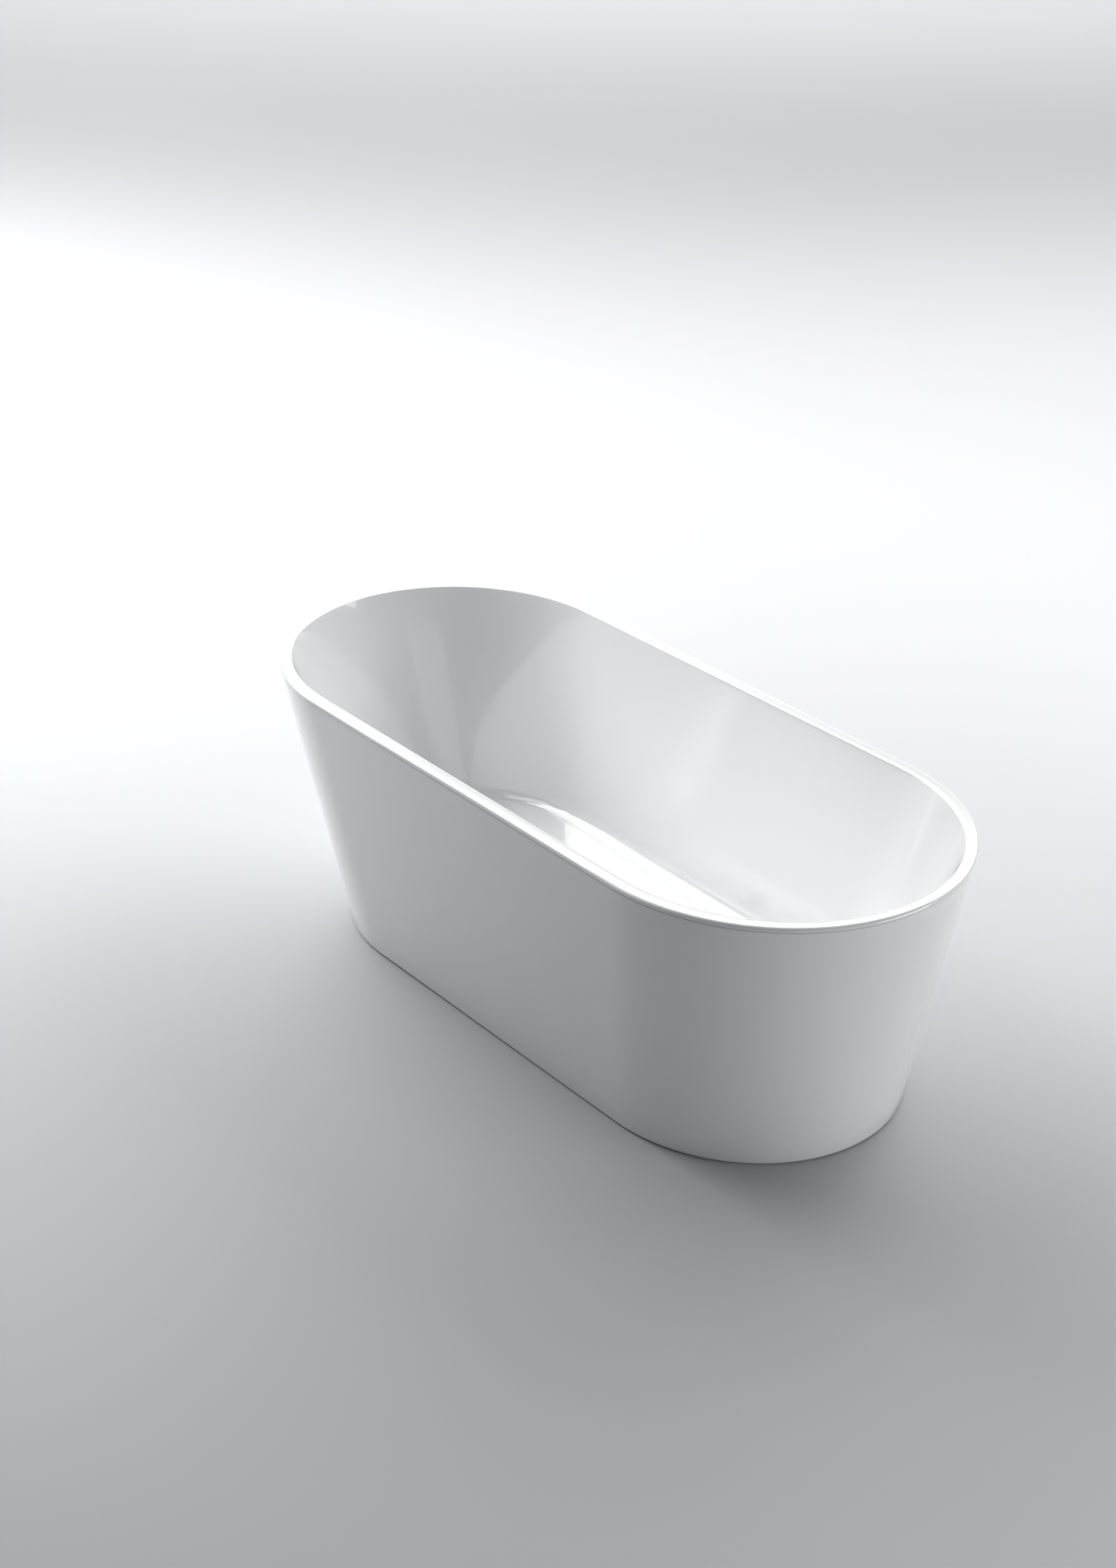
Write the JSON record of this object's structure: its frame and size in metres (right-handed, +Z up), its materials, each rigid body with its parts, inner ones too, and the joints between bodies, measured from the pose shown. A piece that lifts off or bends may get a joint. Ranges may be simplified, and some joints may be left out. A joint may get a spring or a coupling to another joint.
{
  "type": "freestanding bathtub",
  "caption": "Freestanding stadium-shaped bathtub with a tapered apron, a flat rim, a push-to-open waste, an overflow and a hidden steel frame on levelling feet.",
  "frame": {"origin": "on the floor under the middle of the rim", "axes": "+X along the tub from the head end to the foot end, +Y to the rear, +Z up"},
  "size_m": [1.7, 0.75, 0.555],
  "materials": {
    "white_acrylic": "polished white sanitary acrylic",
    "glass_fibre": "rough sprayed glass fibre and resin",
    "bond_filler": "cured adhesive filler",
    "joint_sealant": "recessed grey sealant bead",
    "base_board": "resin-sealed chipboard",
    "frame_steel": "grey powder coat",
    "zinc_steel": "bright zinc plate",
    "black_plastic": "moulded nylon",
    "chrome": "polished chrome",
    "black_rubber": "smooth rubber",
    "white_plastic": "moulded white plastic",
    "brass": "machined brass"
  },
  "bodies": {
    "tub": {"apron_bracket_foot_front": "frame_steel", "apron_bracket_foot_rear": "frame_steel", "apron_bracket_head_front": "frame_steel", "apron_bracket_head_rear": "frame_steel", "apron_reinforcement": "glass_fibre", "apron_shell": "white_acrylic", "base_board": "base_board", "basin_reinforcement": "glass_fibre", "basin_shell": "white_acrylic", "bracket_screws": "zinc_steel", "click_cartridge": "brass", "cross_tube_foot": "frame_steel", "cross_tube_head": "frame_steel", "cross_tube_middle": "frame_steel", "foot_lower_nuts": "zinc_steel", "foot_upper_nuts": "zinc_steel", "frame_rail_front": "frame_steel", "frame_rail_rear": "frame_steel", "hose_clamps": "zinc_steel", "overflow_body": "white_plastic", "overflow_cover": "chrome", "overflow_gasket": "black_rubber", "overflow_hose": "white_plastic", "overflow_screw": "zinc_steel", "plug_spring": "zinc_steel", "rail_screws": "zinc_steel", "rim_bond_ring": "bond_filler", "rim_joint_sealant": "joint_sealant", "tail_nut": "white_plastic", "tail_washer": "black_rubber", "tube_end_plugs": "black_plastic", "waste_flange": "chrome", "waste_flange_seal": "black_rubber", "waste_locknut": "brass", "waste_lower_gasket": "black_rubber", "waste_tail_pipe": "white_plastic", "waste_tee": "white_plastic"},
    "plug": {"plug_cap": "chrome", "plug_seal": "black_rubber", "plug_stem": "brass"},
    "foot_1": {"foot_stud_1": "zinc_steel", "foot_pad_1": "black_plastic"},
    "foot_2": {"foot_stud_2": "zinc_steel", "foot_pad_2": "black_plastic"},
    "foot_3": {"foot_stud_3": "zinc_steel", "foot_pad_3": "black_plastic"},
    "foot_4": {"foot_stud_4": "zinc_steel", "foot_pad_4": "black_plastic"},
    "foot_5": {"foot_stud_5": "zinc_steel", "foot_pad_5": "black_plastic"}
  },
  "joints": [
    {"name": "plug_slide", "type": "slide", "parent": "tub", "child": "plug", "axis": [0, 0, 1], "range_m": [-0.008, 0], "deforming": ["plug_spring"]},
    {"name": "foot_1_height", "type": "slide", "parent": "tub", "child": "foot_1", "axis": [0, 0, 1], "range_m": [-0.015, 0.008]},
    {"name": "foot_2_height", "type": "slide", "parent": "tub", "child": "foot_2", "axis": [0, 0, 1], "range_m": [-0.015, 0.008]},
    {"name": "foot_3_height", "type": "slide", "parent": "tub", "child": "foot_3", "axis": [0, 0, 1], "range_m": [-0.015, 0.008]},
    {"name": "foot_4_height", "type": "slide", "parent": "tub", "child": "foot_4", "axis": [0, 0, 1], "range_m": [-0.015, 0.008]},
    {"name": "foot_5_height", "type": "slide", "parent": "tub", "child": "foot_5", "axis": [0, 0, 1], "range_m": [-0.015, 0.008]}
  ]
}
